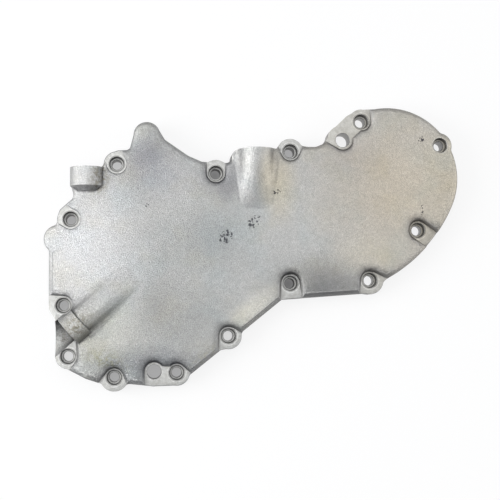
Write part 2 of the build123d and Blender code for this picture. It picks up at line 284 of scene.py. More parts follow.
@dataclass(frozen=True)
class Grain:
    """Noise on a piece, and a soft step that it may be put through.

    The fields are the size of its cells, its octaves and how strong the finer ones are, a shift that keeps
    two noises apart, where the step starts and ends, what comes out below and above it, and how the cells
    are drawn out along each axis and turned about Z, in degrees.
    """
    size_m: float
    octaves: float = 2.0
    fineness: float = 0.5
    shift: float = 0.0
    low: float = 0.3
    high: float = 0.7
    out_low: float = 0.0
    out_high: float = 1.0
    stretch: Triple = (1, 1, 1)
    turn: float = 0.0

    def raw(self, tree: ShaderTree) -> Socket:
        """The noise without its step.

        Args:
            tree: The tree that it is added to.

        Returns:
            The noise, 0 to 1.
        """
        node = tree.add("ShaderNodeTexNoise")
        vector = tree.moved((self.shift, self.shift, self.shift), self.turn, self.stretch)
        for name, value in (("Vector", vector), ("Scale", 1 / self.size_m), ("Detail", self.octaves),
                            ("Roughness", self.fineness)):
            tree.join(value, node.inputs[name])
        return node.outputs["Fac"]

    def step(self, tree: ShaderTree) -> Socket:
        """The noise after its step."""
        return tree.ramp(self.raw(tree), self.low, self.high, self.out_low, self.out_high)


@dataclass(frozen=True)
class Relief:
    """Small bumps from a grain: how tall they are in metres, and how strong."""
    grain: Grain
    height_m: float
    share: object = 1.0

    def normal(self, tree: ShaderTree, below: Socket | None = None) -> Socket:
        """The changed normal, laid on any relief below."""
        return tree.bump(self.grain.raw(tree), self.height_m, self.share, below)


@dataclass(frozen=True)
class Wash:
    """A tint that is laid over a colour, as strongly as a mask says."""
    tint: RGB
    share: float
    blend: Blend = Blend.MULTIPLY

    def lay(self, tree: ShaderTree, mask: Socket, colour: object) -> Socket:
        """The colour with this tint on it."""
        return tree.colour(self.blend, tree.times(mask, self.share), colour, self.tint)


@dataclass(frozen=True)
class Patch:
    """A soft oval seen from above: its middle, half its length and width, and its direction in degrees."""
    x: float
    y: float
    radius_x: float
    radius_y: float
    turn: float

    def cone(self, tree: ShaderTree) -> Socket:
        """How near the middle is, at any height.

        Args:
            tree: The tree that it is added to.

        Returns:
            1 at the middle and 0 at the rim, on a straight slope.
        """
        node = tree.add("ShaderNodeTexGradient", gradient_type="SPHERICAL")
        scale = (self.radius_x * MM, self.radius_y * MM, ENDLESS_M)
        tree.join(tree.moved((self.x * MM, self.y * MM, 0), self.turn, scale), node.inputs["Vector"])
        return node.outputs["Fac"]

    def cover(self, tree: ShaderTree) -> Socket:
        """The same on a soft slope."""
        return tree.ramp(self.cone(tree), 0, 1)


@dataclass(frozen=True)
class ToneSpot(Patch):
    """A patch that is lighter, darker, warmer or cooler than the rest."""
    tint: RGB
    strength: float

    def lay(self, tree: ShaderTree, mask: Socket, colour: object) -> Socket:
        """The colour with this tint on it."""
        return tree.colour(Blend.MIX, tree.times(mask, self.strength), colour, self.tint)


@dataclass(frozen=True)
class PoreCluster(Patch):
    """A group of small dark pores in the outer face."""
    strength: float


@dataclass(frozen=True)
class RoundHole:
    """A round hole's place and radius, in metres, and whether a screw goes through it."""
    x: float
    y: float
    radius: float
    for_screw: bool

    def away(self, x: float, y: float) -> float:
        """How far its axis is from a place in metres, in millimetres."""
        return hypot(x - self.x, y - self.y) / MM


@dataclass(frozen=True)
class CastSkin:
    """Satin aluminium as it comes from the mould, with its grain, pores, tints and fine scratches, and with
    painted light in its colour: broad patches of painted highlight and painted shade, and painted shade on
    steep walls, in creases and on the brows of the pads.
    """
    base: RGB = srgb(184, 184, 182)
    roughness: float = 0.47
    coarse: Patch = Patch(-62, -12, 150, 170, 0)
    speckle_depth: tuple[float, float] = (0.13, 0.24)
    bump_share: tuple[float, float] = (0.5, 1.0)
    cloud: Grain = Grain(0.03, 3.0, 0.5, 0.0, 0.3, 0.7, 0.965, 1.03)
    mottle: Grain = Grain(0.0042, 4.0, 0.65, 0.3, 0.25, 0.75, 0.95, 1.05)
    speckle: Grain = Grain(0.0008, 3.0, 0.75, 0.8, 0.32, 0.68, -1.0, 1.0)
    leather: Grain = Grain(0.0018, 3.0, 0.6, 1.7, 0.3, 0.7, 0.93, 1.07)
    cool: Grain = Grain(0.026, 2.0, 0.5, 0.7, 0.45, 0.75)
    cool_wash: Wash = Wash((0.84, 0.95, 1.0), 0.3)
    warm: Grain = Grain(0.021, 2.0, 0.5, 1.1, 0.45, 0.75)
    warm_wash: Wash = Wash((1.0, 0.96, 0.82), 0.3)
    specks: Grain = Grain(0.0016, 3.0, 0.6, 0.45, 0.5, 0.6)
    pore_edge: tuple[float, float] = (0.08, 0.35)
    pore_wash: Wash = Wash(srgb(70, 70, 76), 0.9, Blend.MIX)
    pore_depth_m: float = 0.0003
    upright_scratch: Grain = Grain(0.0009, 1.0, 0.4, 0.0, 0.7, 0.76, stretch=(1, 16, 1), turn=4)
    slanted_scratch: Grain = Grain(0.0010, 1.0, 0.4, 0.2, 0.71, 0.77, stretch=(20, 1, 1), turn=38)
    scratch_wash: Wash = Wash(srgb(225, 225, 224), 0.08, Blend.MIX)
    scratch_gloss: float = 0.1
    # Painted shade: steep walls, creases and the brows of the pads are darkened in the colour.
    steep_shade_slope: tuple[float, float] = (0.94, 0.4)
    steep_shade_wash: Wash = Wash((0.28, 0.28, 0.30), 0.6)
    crease_shade_wash: Wash = Wash((0.30, 0.30, 0.32), 0.8)
    brow_shade_wash: Wash = Wash((0.42, 0.42, 0.45), 0.75)
    rim_wash: Wash = Wash(srgb(214, 214, 212), 0.3, Blend.MIX)
    bumps: Grain = Grain(0.0008, 3.0, 0.6)
    bump_height_m: float = 0.0008
    fine_bumps: Relief = Relief(Grain(0.0004, 2.0, 0.6, 0.9), 0.00012, 0.8)
    sheen: Grain = Grain(0.006, 3.0, 0.6, 0.15, 0.3, 0.7, -0.05, 0.05)
    # Most spots are painted light: a painted glare over the left end, a painted highlight along the drive
    # boss's crest with painted shade beside it, a painted highlight on the slope between the lower pads, and
    # patches of painted shade. The warm ones towards the right end add tint.
    spots: tuple[ToneSpot, ...] = (
        ToneSpot(-60, -2, 64, 84, 0, srgb(226, 226, 226), 0.95),
        ToneSpot(-44, -62, 50, 40, 40, srgb(204, 204, 197), 0.8),
        ToneSpot(18, -52, 56, 40, 20, srgb(160, 161, 159), 0.8),
        ToneSpot(-8, -84, 70, 20, 0, srgb(134, 136, 138), 0.8),
        ToneSpot(170, 44, 92, 96, 0, srgb(195, 186, 171), 0.95),
        ToneSpot(205, 40, 34, 70, 0, srgb(190, 182, 166), 0.6),
        ToneSpot(82, 46, 18, 40, 0, srgb(200, 190, 168), 0.7),
        ToneSpot(112, -30, 62, 34, 0, srgb(134, 134, 133), 0.9),
        ToneSpot(62, -46, 40, 13, 40, srgb(212, 210, 200), 0.85),
        ToneSpot(38, 48, 30, 24, 0, srgb(146, 146, 148), 0.6),
        ToneSpot(-13, 64, 24, 26, 0, srgb(138, 137, 140), 0.8),
        ToneSpot(-52, 52, 30, 34, 0, srgb(212, 212, 211), 0.6),
        ToneSpot(128, 66, 40, 30, 0, srgb(172, 166, 160), 0.5),
        ToneSpot(32, 2, 56, 46, 0, srgb(162, 164, 163), 0.75),
        ToneSpot(-2, -38, 28, 22, 30, srgb(166, 166, 164), 0.8),
        ToneSpot(-5, 50, 40, 26, 0, srgb(168, 168, 170), 0.7),
        ToneSpot(44, 50, 13, 28, 0, srgb(146, 146, 147), 0.8),
        ToneSpot(59.5, 52, 7, 26, 0, srgb(206, 206, 203), 0.8),
        ToneSpot(72, 50, 10, 28, 0, srgb(212, 205, 188), 0.8),
        ToneSpot(150, -6, 44, 22, 0, srgb(200, 194, 180), 0.7),
    )
    stain_edge: Grain = Grain(0.0026, 4.0, 0.7, 0.55, 0.4, 0.6)
    stains: tuple[ToneSpot, ...] = (
        ToneSpot(-62, -56, 20, 15, 41, srgb(128, 121, 98), 0.75),
        ToneSpot(-47, 49, 10, 18, 0, srgb(128, 118, 88), 1.0),
        ToneSpot(-42, -80, 26, 12, -20, srgb(150, 148, 118), 0.6),
        ToneSpot(-74, -66, 9, 12, 0, srgb(104, 96, 84), 0.7),
        ToneSpot(30, -78, 30, 9, 38, srgb(160, 156, 136), 0.5),
        ToneSpot(58, 44, 6, 22, 0, srgb(118, 120, 126), 0.45),
    )
    pores: tuple[PoreCluster, ...] = (
        PoreCluster(43.6, 7.2, 8.5, 6.0, 45, 1.0),
        PoreCluster(63.8, 18.0, 8.0, 5.4, 40, 1.0),
        PoreCluster(79.9, 39.4, 6.5, 3.0, 10, 0.7),
        PoreCluster(-13.0, 29.5, 3.0, 2.0, 150, 0.8),
        PoreCluster(185.3, 78.8, 4.0, 3.0, 0, 0.7),
        PoreCluster(185.5, 26.2, 1.6, 7.5, 0, 0.7),
    )

    def tones(self, tree: ShaderTree) -> Socket:
        """The base colour with its broad patches, most of them painted light and some of them tint, its
        stains and its mottling.

        Args:
            tree: The material's tree.

        Returns:
            The colour.
        """
        colour: object = self.base
        # Patches of painted highlight and painted shade, and some warm tint.
        for spot in self.spots:
            colour = spot.lay(tree, spot.cover(tree), colour)
        broken = self.stain_edge.step(tree)
        for stain in self.stains:
            colour = stain.lay(tree, tree.times(stain.cover(tree), broken), colour)
        depth = tree.ramp(self.coarse.cover(tree), 0, 1, *self.speckle_depth)
        speckle = tree.math("ADD", tree.times(self.speckle.step(tree), depth), 1.0)
        broad = tree.times(self.cloud.step(tree), self.mottle.step(tree))
        shade = tree.times(broad, tree.times(speckle, self.leather.step(tree)))
        grey = tree.add("ShaderNodeCombineColor")
        for socket in grey.inputs:
            tree.join(shade, socket)
        colour = tree.colour(Blend.MULTIPLY, 1.0, colour, grey.outputs[0])
        colour = self.cool_wash.lay(tree, self.cool.step(tree), colour)
        return self.warm_wash.lay(tree, self.warm.step(tree), colour)

    def pore_mask(self, tree: ShaderTree) -> Socket:
        """Where the dark pores are.

        Args:
            tree: The material's tree.

        Returns:
            1 in a pore and 0 beside it.
        """
        total: object = 0.0
        for pore in self.pores:
            total = tree.math("MAXIMUM", total, tree.times(pore.cover(tree), pore.strength))
        return tree.ramp(tree.times(total, self.specks.step(tree)), *self.pore_edge)

    def make(self) -> bpy.types.Material:
        """Builds the material.

        Returns:
            The finished material.
        """
        tree = ShaderTree("cast_skin")
        pores = self.pore_mask(tree)
        scratches = tree.math("MAXIMUM", self.upright_scratch.step(tree), self.slanted_scratch.step(tree))
        colour = self.pore_wash.lay(tree, pores, self.tones(tree))
        colour = self.scratch_wash.lay(tree, scratches, colour)
        # Painted shade: steep surfaces are darkened in the colour.
        colour = self.steep_shade_wash.lay(tree, tree.steep(*self.steep_shade_slope), colour)
        # Painted shade with some grime in the creases, painted shade on the brows of the pads, and a lighter
        # tint on edges that stick out.
        for mark, wash in (("hollow", self.crease_shade_wash), ("brow", self.brow_shade_wash), ("rim", self.rim_wash)):
            colour = wash.lay(tree, tree.mark(mark), colour)
        share = tree.ramp(self.coarse.cover(tree), 0, 1, *self.bump_share)
        relief = Relief(self.bumps, self.bump_height_m, share).normal(tree)
        relief = self.fine_bumps.normal(tree, relief)
        relief = tree.bump(tree.times(pores, -1.0), self.pore_depth_m, 1.0, relief)
        sheen = tree.math("SUBTRACT", self.sheen.step(tree), tree.times(scratches, self.scratch_gloss))
        return tree.metal(colour, tree.math("ADD", sheen, self.roughness), relief)


@dataclass(frozen=True)
class MachinedFace:
    """Milled or turned aluminium: brighter, with fine tool marks that are in its sheen too."""
    base: RGB = srgb(182, 182, 180)
    marks: Grain = Grain(0.0004, 2.0, 0.6, 0.0, 0.2, 0.8, 0.42, 0.56, stretch=(14, 1, 1), turn=25)
    mark_height_m: float = 0.00002
    mark_share: float = 0.5
    cloud: Grain = Grain(0.009)
    cloud_wash: Wash = Wash((0.82, 0.83, 0.85), 0.3)

    def make(self) -> bpy.types.Material:
        """Builds the material.

        Returns:
            The finished material.
        """
        tree = ShaderTree("machined_face")
        colour = self.cloud_wash.lay(tree, self.cloud.step(tree), self.base)
        relief = Relief(self.marks, self.mark_height_m, self.mark_share).normal(tree)
        return tree.metal(colour, self.marks.step(tree), relief)


@dataclass(frozen=True)
class CastPad:
    """The screw pads and seats: cleaner than the skin, with painted rings round each screw: dark rings of
    painted shade and grime at the hole's edge and at the counterbore's mouth, and a painted highlight on the
    lip.

    The rings are pairs of a radius in millimetres and the share of the base colour's brightness there.
    """
    base: RGB = srgb(206, 206, 203)
    roughness: float = 0.5
    reach: float = 12.0
    warm_patch: ToneSpot = ToneSpot(180, 40, 110, 120, 0, (0.9, 0.84, 0.74), 1.0)
    grime: Grain = Grain(0.0028, 4.0, 0.65, 0.35, 0.36, 0.62)
    grime_wash: Wash = Wash((0.66, 0.65, 0.62), 0.5)
    crease_shade_wash: Wash = Wash((0.4, 0.4, 0.42), 0.25)
    bumps: Relief = Relief(Grain(0.0009, 3.0, 0.6), 0.0003, 0.8)
    # Painted shade and highlight: the dark rings at 3.6 mm and near 5 mm are painted shade with grime, and
    # the bright ring at 6.5 mm is a painted highlight on the lip.
    rings: tuple[tuple[float, float], ...] = (
        (3.6, 0.55), (4.0, 1.0), (4.5, 1.0), (4.8, 0.38), (5.2, 0.25), (5.45, 0.7), (6.0, 0.9), (6.5, 1.3),
        (7.1, 1.0),
    )

    def lay_painted_rings(self, tree: ShaderTree, holes: list[RoundHole], colour: Socket) -> Socket:
        """Lays the painted rings of shade, grime and highlight round each hole.

        Args:
            tree: The material's tree.
            holes: The screw holes.
            colour: The colour without rings.

        Returns:
            The colour with rings.
        """
        near: object = 0.0
        for hole in holes:
            around = Patch(hole.x / MM, hole.y / MM, self.reach, self.reach, 0)
            near = tree.math("MAXIMUM", near, around.cone(tree))
        scale = tree.add("ShaderNodeValToRGB")
        stops = scale.color_ramp.elements
        stops.remove(stops[1])
        for number, (radius, share) in enumerate(reversed(self.rings)):
            nearness = 1 - radius / self.reach
            stop = stops.new(nearness) if number else stops[0]
            stop.position = nearness
            stop.color = (share / 2, share / 2, share / 2, 1)
        tree.join(near, scale.inputs["Fac"])
        # The scale holds half of each share, because a share may be over 1. The sum makes it whole again.
        colour = tree.colour(Blend.MULTIPLY, 1.0, colour, scale.outputs["Color"])
        return tree.colour(Blend.ADD, 1.0, colour, colour)

    def make(self, holes: list[RoundHole]) -> bpy.types.Material:
        """Builds the material.

        Args:
            holes: The screw holes.

        Returns:
            The finished material.
        """
        tree = ShaderTree("cast_pad")
        colour = self.grime_wash.lay(tree, self.grime.step(tree), self.base)
        colour = tree.colour(Blend.MULTIPLY, self.warm_patch.cover(tree), colour, self.warm_patch.tint)
        colour = self.lay_painted_rings(tree, holes, colour)
        # Painted shade with some grime in the creases.
        colour = self.crease_shade_wash.lay(tree, tree.mark("hollow"), colour)
        return tree.metal(colour, self.roughness, self.bumps.normal(tree))


@dataclass(frozen=True)
class CutMetal:
    """Metal that a tool has cut: fine marks in relief, and a thin stain over its colour."""
    name: str
    base: RGB
    roughness: float
    marks: Relief
    stain: Grain
    stain_wash: Wash

    def make(self) -> bpy.types.Material:
        """Builds the material.

        Returns:
            The finished material.
        """
        tree = ShaderTree(self.name)
        colour = self.stain_wash.lay(tree, self.stain.step(tree), self.base)
        return tree.metal(colour, self.roughness, self.marks.normal(tree))


@dataclass(frozen=True)
class DrilledWall(CutMetal):
    """The walls of drilled holes: darker, with fine turned rings."""
    name: str = "drilled_wall"
    base: RGB = srgb(146, 145, 144)
    roughness: float = 0.42
    marks: Relief = Relief(Grain(0.00035, 1.0, 0.5, stretch=(40, 40, 1)), 0.00003, 0.6)
    stain: Grain = Grain(0.003, 2.0, 0.5, 0.6, 0.4, 0.7)
    stain_wash: Wash = Wash((0.58, 0.57, 0.55), 0.5)


@dataclass(frozen=True)
class GroundSteel(CutMetal):
    """Ground steel of the lock pins."""
    name: str = "ground_steel"
    base: RGB = srgb(160, 160, 164)
    roughness: float = 0.28
    marks: Relief = Relief(Grain(0.0002, 2.0, 0.5, stretch=(1, 8, 1)), 0.00001, 0.4)
    stain: Grain = Grain(0.0011, 2.0, 0.5, 0.4, 0.45, 0.7)
    stain_wash: Wash = Wash(srgb(118, 114, 110), 0.4, Blend.MIX)


@dataclass(frozen=True)
class BearingBronze:
    """Bored bronze with turning rings and a light brown film of oil, which makes it duller."""
    base: RGB = srgb(196, 148, 92)
    film: Grain = Grain(0.004, 3.0, 0.5, 0.0, 0.4, 0.65, 0.0, 0.55)
    film_wash: Wash = Wash(srgb(150, 104, 62), 1.0, Blend.MIX)
    film_full: float = 0.6
    roughness: tuple[float, float] = (0.3, 0.44)
    rings: Relief = Relief(Grain(0.0003, 1.0, 0.5, stretch=(30, 30, 1)), 0.00002, 0.5)

    def make(self) -> bpy.types.Material:
        """Builds the material.

        Returns:
            The finished material.
        """
        tree = ShaderTree("bearing_bronze")
        film = self.film.step(tree)
        colour = self.film_wash.lay(tree, film, self.base)
        roughness = tree.ramp(film, 0.0, self.film_full, *self.roughness)
        return tree.metal(colour, roughness, self.rings.normal(tree))


@dataclass(frozen=True)
class FloorPaint:
    """A plain floor that glows towards the camera and in reflections, and still shows a faint shadow.

    Each patch mixes its tint into the paper and adds its strength to the glow.
    """
    paper: RGB = srgb(244, 244, 244)
    glow: float = 0.82
    patches: tuple[ToneSpot, ...] = ()
    fibre: Grain = Grain(0.02)
    fibre_wash: Wash = Wash((0.9, 0.9, 0.9), 0.04)

    def make(self) -> bpy.types.Material:
        """Builds the material.

        Returns:
            The finished material.
        """
        tree = ShaderTree("floor_paint")
        colour = self.fibre_wash.lay(tree, self.fibre.step(tree), self.paper)
        glow: object = self.glow
        for patch in self.patches:
            cover = patch.cover(tree)
            colour = tree.colour(Blend.MIX, cover, colour, patch.tint)
            glow = tree.math("ADD", glow, tree.times(cover, patch.strength))
        matt = tree.add("ShaderNodeBsdfDiffuse")
        tree.join(colour, matt.inputs["Color"])
        white = tree.add("ShaderNodeEmission")
        path = tree.add("ShaderNodeLightPath").outputs
        seen = tree.math("MAXIMUM", path["Is Camera Ray"],
                         tree.math("MAXIMUM", path["Is Glossy Ray"], path["Is Transmission Ray"]))
        return tree.end(tree.choose(tree.times(seen, glow), matt.outputs[0], white.outputs[0]))


def placed(name: str, data: bpy.types.ID) -> bpy.types.Object:
    """Puts an object in the scene.

    Args:
        name: Its name.
        data: Its mesh, camera or lamp.

    Returns:
        The object.
    """
    piece = bpy.data.objects.new(name, data)
    bpy.context.scene.collection.objects.link(piece)
    return piece


def plain_mesh(name: str, body: Body) -> bpy.types.Mesh:
    """Turns a mesh that was being worked on into a finished one.

    Args:
        name: The name of the finished mesh.
        body: The mesh, which is freed.

    Returns:
        The finished mesh.
    """
    mesh = bpy.data.meshes.new(name)
    body.to_mesh(mesh)
    body.free()
    return mesh


def border(body: Body, faces: list[bmesh.types.BMFace]) -> Edges:
    """The edges that have one of some faces on one side only."""
    chosen = set(faces)
    return [e for e in body.edges if len([f for f in e.link_faces if f in chosen]) == 1]


def rings_of(edges: Edges) -> list[list[bmesh.types.BMVert]]:
    """Walks along edges from corner to corner.

    Args:
        edges: Edges that form closed rings.

    Returns:
        The corners of each ring, in order.
    """
    beside: dict[bmesh.types.BMVert, list[bmesh.types.BMVert]] = {}
    for edge in edges:
        a, b = edge.verts
        beside.setdefault(a, []).append(b)
        beside.setdefault(b, []).append(a)
    rings, seen = [], set()
    for start in beside:
        if start in seen:
            continue
        ring, ahead = [], [start]
        while ahead:
            here = ahead[0]
            seen.add(here)
            ring.append(here)
            ahead = [v for v in beside[here] if v not in seen]
        rings.append(ring)
    return rings


def chains_of(edges: Edges) -> list[Edges]:
    """Sorts edges into groups that hang together.

    Args:
        edges: The edges.

    Returns:
        The groups.
    """
    left, groups = set(edges), []
    for edge in edges:
        if edge not in left:
            continue
        left.discard(edge)
        group, ahead = [], [edge]
        while ahead:
            here = ahead.pop()
            group.append(here)
            for near in [e for v in here.verts for e in v.link_edges if e in left]:
                left.discard(near)
                ahead.append(near)
        groups.append(group)
    return groups


def line_distance(points: np.ndarray, starts: np.ndarray, ends: np.ndarray) -> tuple[np.ndarray, np.ndarray]:
    """Distance of each point from the nearest of some straight pieces, seen from above.

    Args:
        points: The points, one per row, in metres.
        starts: Where the pieces start, in metres.
        ends: Where they end, in metres.

    Returns:
        The distances in millimetres, and the number of the nearest piece for each point.
    """
    along = ends - starts
    squares = np.maximum((along ** 2).sum(1), 1e-16)
    best = np.full(len(points), np.inf)
    nearest = np.zeros(len(points), int)
    for number, (start, run, square) in enumerate(zip(starts, along, squares)):
        share = np.clip(((points - start) @ run) / square, 0, 1)
        apart = ((points - start - share[:, None] * run) ** 2).sum(1)
        closer = apart < best
        best[closer] = apart[closer]
        nearest[closer] = number
    return np.sqrt(best) / MM, nearest


@dataclass
class CastCover:
    """The casting: the CAD node's own shape with eased edges, a soft crown to its rim and an uneven face.

    A name that ends in _up is the share of a face's normal that points up.
    """
    merge_m: float = 2e-6
    level_m: float = 5e-6
    flat_angle: float = 0.05
    level_up: float = 0.999
    face_z: float = 18.5
    grid_pitch: float = 1.4
    grid_row: float = 0.866
    grid_start: float = 0.25
    grid_clear: float = 0.62
    rim_stretch: float = 1.4
    weld: float = 1e-5
    probe: float = 0.2
    probe_reach: float = 0.21
    crown_width: float = 11.0
    crown_drop: float = 0.95
    crown_foot_z: float = 14.2
    boss_clear_z: float = 3.0
    brow_width: float = 1.45
    brow_drop: float = 0.38
    pad_low_z: float = 13.2
    pad_high_z: float = 17.6
    pad_up: float = 0.97
    root_slack: float = 0.02
    root_rise: float = 0.1
    floor_up: float = 0.99
    wall_up: float = 0.9
    upright_up: float = 0.1
    wave_size: float = 38.0
    wave_height: float = 0.16
    ripple_size: float = 7.0
    ripple_height: float = 0.035
    wave_level: float = 3.0
    sharp_angle: float = 34.0
    corner_bend: float = 1.0
    full_bend: float = 0.9
    head_r: float = 5.25
    screw_r: float = 3.55
    locator_r: float = 5.1
    hole_slack: float = 0.1
    ring_slack: float = 0.04
    drilled_slack: float = 0.08
    mouth_ease: float = 0.2
    mouth_low_z: float = 2.0
    spot_r: float = 6.4
    seat_low_z: float = 7.0
    lug_start: float = 7.0
    lug_reach: float = 16.0
    lug_top_up: float = 0.95
    lug_side_up: float = 0.3
    lug_ease: float = 1.1
    lug_steps: int = 3
    gasket_high_z: float = 1.6
    breather_end_y: float = 56.4
    breather_slack: float = 0.05
    skin: CastSkin = CastSkin()
    machined: MachinedFace = MachinedFace()
    drilled: DrilledWall = DrilledWall()
    pad: CastPad = CastPad()
    outline: list[Vector] = field(default_factory=list)

    def merged(self) -> Body:
        """A copy of the CAD node's mesh, with its corners joined and its flat areas made whole.

        Returns:
            The copy.
        """
        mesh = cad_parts["cover_casting"].data.copy()
        if "custom_normal" in mesh.attributes:
            mesh.attributes.remove(mesh.attributes["custom_normal"])
        body = bmesh.new()
        body.from_mesh(mesh)
        bpy.data.meshes.remove(mesh)
        bmesh.ops.remove_doubles(body, verts=body.verts, dist=self.merge_m)
        bmesh.ops.dissolve_limit(body, angle_limit=radians(self.flat_angle), verts=body.verts,
                                 edges=body.edges, use_dissolve_boundaries=False)
        body.normal_update()
        return body

    def gasket_rings(self, body: Body) -> list[list[Vector]]:
        """The rings of the gasket face.

        Args:
            body: The casting.

        Returns:
            The outline first, then the gear space and the holes.
        """
        flat = [f for f in body.faces if f.normal.z < -self.level_up
                and abs(f.calc_center_median().z) < self.level_m]
        rings = [[v.co.copy() for v in ring] for ring in rings_of(border(body, flat))]
        return sorted(rings, key=lambda ring: min(co.x for co in ring))

    def round_holes(self, rings: list[list[Vector]]) -> list[RoundHole]:
        """Finds the screw holes and the locating holes.

        Args:
            rings: The rings of the gasket face.

        Returns:
            The holes.
        """
        holes = []
        for ring in rings:
            xs, ys = [co.x for co in ring], [co.y for co in ring]
            radius = (max(xs) - min(xs)) / 2
            for known in (self.screw_r, self.locator_r):
                if abs(radius - known * MM) < self.hole_slack * MM:
                    x, y = (min(xs) + max(xs)) / 2, (min(ys) + max(ys)) / 2
                    holes.append(RoundHole(x, y, radius, known == self.screw_r))
        return holes

    def outer_face(self, body: Body) -> tuple[list[bmesh.types.BMFace], Edges]:
        """Finds the flat outer side.

        Args:
            body: The casting.

        Returns:
            Its faces, and the edges round them.
        """
        level = self.face_z * MM
        top = [f for f in body.faces if f.normal.z > self.level_up
               and abs(f.calc_center_median().z - level) < self.level_m]
        return top, border(body, top)

    def split_rim(self, rim: Edges) -> None:
        """Cuts long edges into short ones.

        Args:
            rim: The edges round the outer face.
        """
        for edge in rim:
            parts = int(edge.calc_length() / (self.grid_pitch * MM * self.rim_stretch))
            tail = edge.verts[0]
            for left in range(parts, 0, -1):
                tail = bmesh.utils.edge_split(edge, tail, 1 / (left + 1))[1]

    def grid(self, rim: list[Vector]) -> list[Vector]:
        """Points in staggered rows, in the rim's box and clear of the rim itself.

        Args:
            rim: Points on the rim, in millimetres.

        Returns:
            The points, in millimetres.
        """
        near = kdtree.KDTree(len(rim))
        for number, point in enumerate(rim):
            near.insert((point.x, point.y, 0), number)
        near.balance()
        pitch = self.grid_pitch
        low_x, high_x = min(p.x for p in rim), max(p.x for p in rim)
        low_y, high_y = min(p.y for p in rim), max(p.y for p in rim)
        points = []
        for row in range(int((high_y - low_y) / (pitch * self.grid_row))):
            y = low_y + (row + 0.5) * pitch * self.grid_row
            for column in range(int((high_x - low_x) / pitch)):
                x = low_x + (column + self.grid_start + 0.5 * (row % 2)) * pitch
                if near.find((x, y, 0))[2] > self.grid_clear * pitch:
                    points.append(Vector((x, y)))
        return points

    def refine_face(self, body: Body) -> None:
        """Gives the flat outer face an even mesh, so that it can be shaped. Holes in it stay open.

        Args:
            body: The casting.
        """
        self.split_rim(self.outer_face(body)[1])
        top, rim = self.outer_face(body)
        verts = list(dict.fromkeys(v for e in rim for v in e.verts))
        index = {v: i for i, v in enumerate(verts)}
        points = [Vector((v.co.x / MM, v.co.y / MM)) for v in verts]
        edges = [(index[e.verts[0]], index[e.verts[1]]) for e in rim]
        made = geometry.delaunay_2d_cdt(points + self.grid(points), edges, [], 1, self.weld)
        spots, triangles, origins = made[0], made[2], made[3]
        before = bvhtree.BVHTree.FromBMesh(body)
        bmesh.ops.delete(body, geom=top, context="FACES_KEEP_BOUNDARY")
        known: dict[int, bmesh.types.BMVert] = {}
        for new, sources in enumerate(origins):
            old = [source for source in sources if source < len(verts)]
            if old:
                known[new] = verts[old[0]]
        level, down, count = self.face_z * MM, Vector((0, 0, -1)), 0
        for triangle in triangles:
            middle = sum((spots[i] for i in triangle), Vector((0, 0))) / len(triangle)
            above = Vector((middle.x * MM, middle.y * MM, level + self.probe * MM))
            if before.ray_cast(above, down, self.probe_reach * MM)[0] is None:
                continue
            for i in triangle:
                if i not in known:
                    known[i] = body.verts.new((spots[i].x * MM, spots[i].y * MM, level))
            face = body.faces.new([known[i] for i in triangle])
            face.normal_update()
            if face.normal.z < 0:
                face.normal_flip()
            count += 1
        loose = [v for v in body.verts if not v.link_faces]
        bmesh.ops.delete(body, geom=loose, context="VERTS")
        log.info("outer face: %d triangles", count)

    def pad_roots(self, body: Body) -> tuple[np.ndarray, np.ndarray, np.ndarray]:
        """The lines where a screw pad's floor meets the wall behind it.

        Args:
            body: The casting.

        Returns:
            Starts and ends of the lines' pieces in metres, and the height of each in millimetres.
        """
        low, high = self.pad_low_z * MM, self.pad_high_z * MM
        starts, ends, heights = [], [], []
        for edge in body.edges:
            a, b = (v.co for v in edge.verts)
            if len(edge.link_faces) != 2 or not low < a.z < high or abs(a.z - b.z) > self.root_slack * MM:
                continue
            floors = [f for f in edge.link_faces if f.normal.z > self.floor_up]
            walls = [f for f in edge.link_faces
                     if f.normal.z < self.wall_up and f.calc_center_median().z > a.z + self.root_rise * MM]
            if len(floors) == 1 and len(walls) == 1:
                starts.append(a[:2])
                ends.append(b[:2])
                heights.append(a.z / MM)
        return np.array(starts), np.array(ends), np.array(heights)

    def shape(self, body: Body) -> None:
        """Lowers the outer face softly towards the rim and the pads, and makes it slightly uneven.

        Args:
            body: The casting. It also gets the mark "brow", 1 at the foot of the walls behind the pads.
        """
        body.verts.ensure_lookup_table()
        place = np.array([v.co for v in body.verts])
        ring = np.array([co[:2] for co in self.outline])
        away = line_distance(place[:, :2], ring, np.roll(ring, -1, axis=0))[0]
        fall = np.clip(1 - away / self.crown_width, 0, 1)
        height = place[:, 2] / MM
        below_bosses = np.clip(1 - (height - self.face_z) / self.boss_clear_z, 0, 1)
        rise = np.clip((height - self.crown_foot_z) / (self.face_z - self.crown_foot_z), 0, 1) * below_bosses
        starts, ends, floors = self.pad_roots(body)
        log.info("screw pads: %d pieces of wall", len(floors))
        apart, nearest = line_distance(place[:, :2], starts, ends)
        depth = self.face_z - floors[nearest]
        brow = np.clip(1 - apart / (self.brow_width * depth), 0, 1) ** 2 * self.brow_drop * depth
        brow *= np.clip((height - floors[nearest]) / depth, 0, 1) * below_bosses
        drop = self.crown_drop * fall ** 2 * rise + brow
        layer = body.verts.layers.float.new("brow")
        for vert, share in zip(body.verts, brow / (self.brow_drop * depth)):
            vert[layer] = share
        for vert, z, lower, up in zip(body.verts, height, drop, rise):
            if up <= 0:
                continue
            spot = Vector((vert.co.x / MM, vert.co.y / MM, self.wave_level))
            wave = noise.noise(spot / self.wave_size) * self.wave_height
            ripple = noise.noise(spot / self.ripple_size) * self.ripple_height
            vert.co.z = (z - lower + (wave + ripple - self.wave_height / 2) * up) * MM

    def corners_out(self, body: Body) -> Edges:
        """The sharp edges that stick out."""
        return [e for e in body.edges if len(e.link_faces) == 2
                and e.calc_face_angle_signed(0.0) >= self.corner_bend]

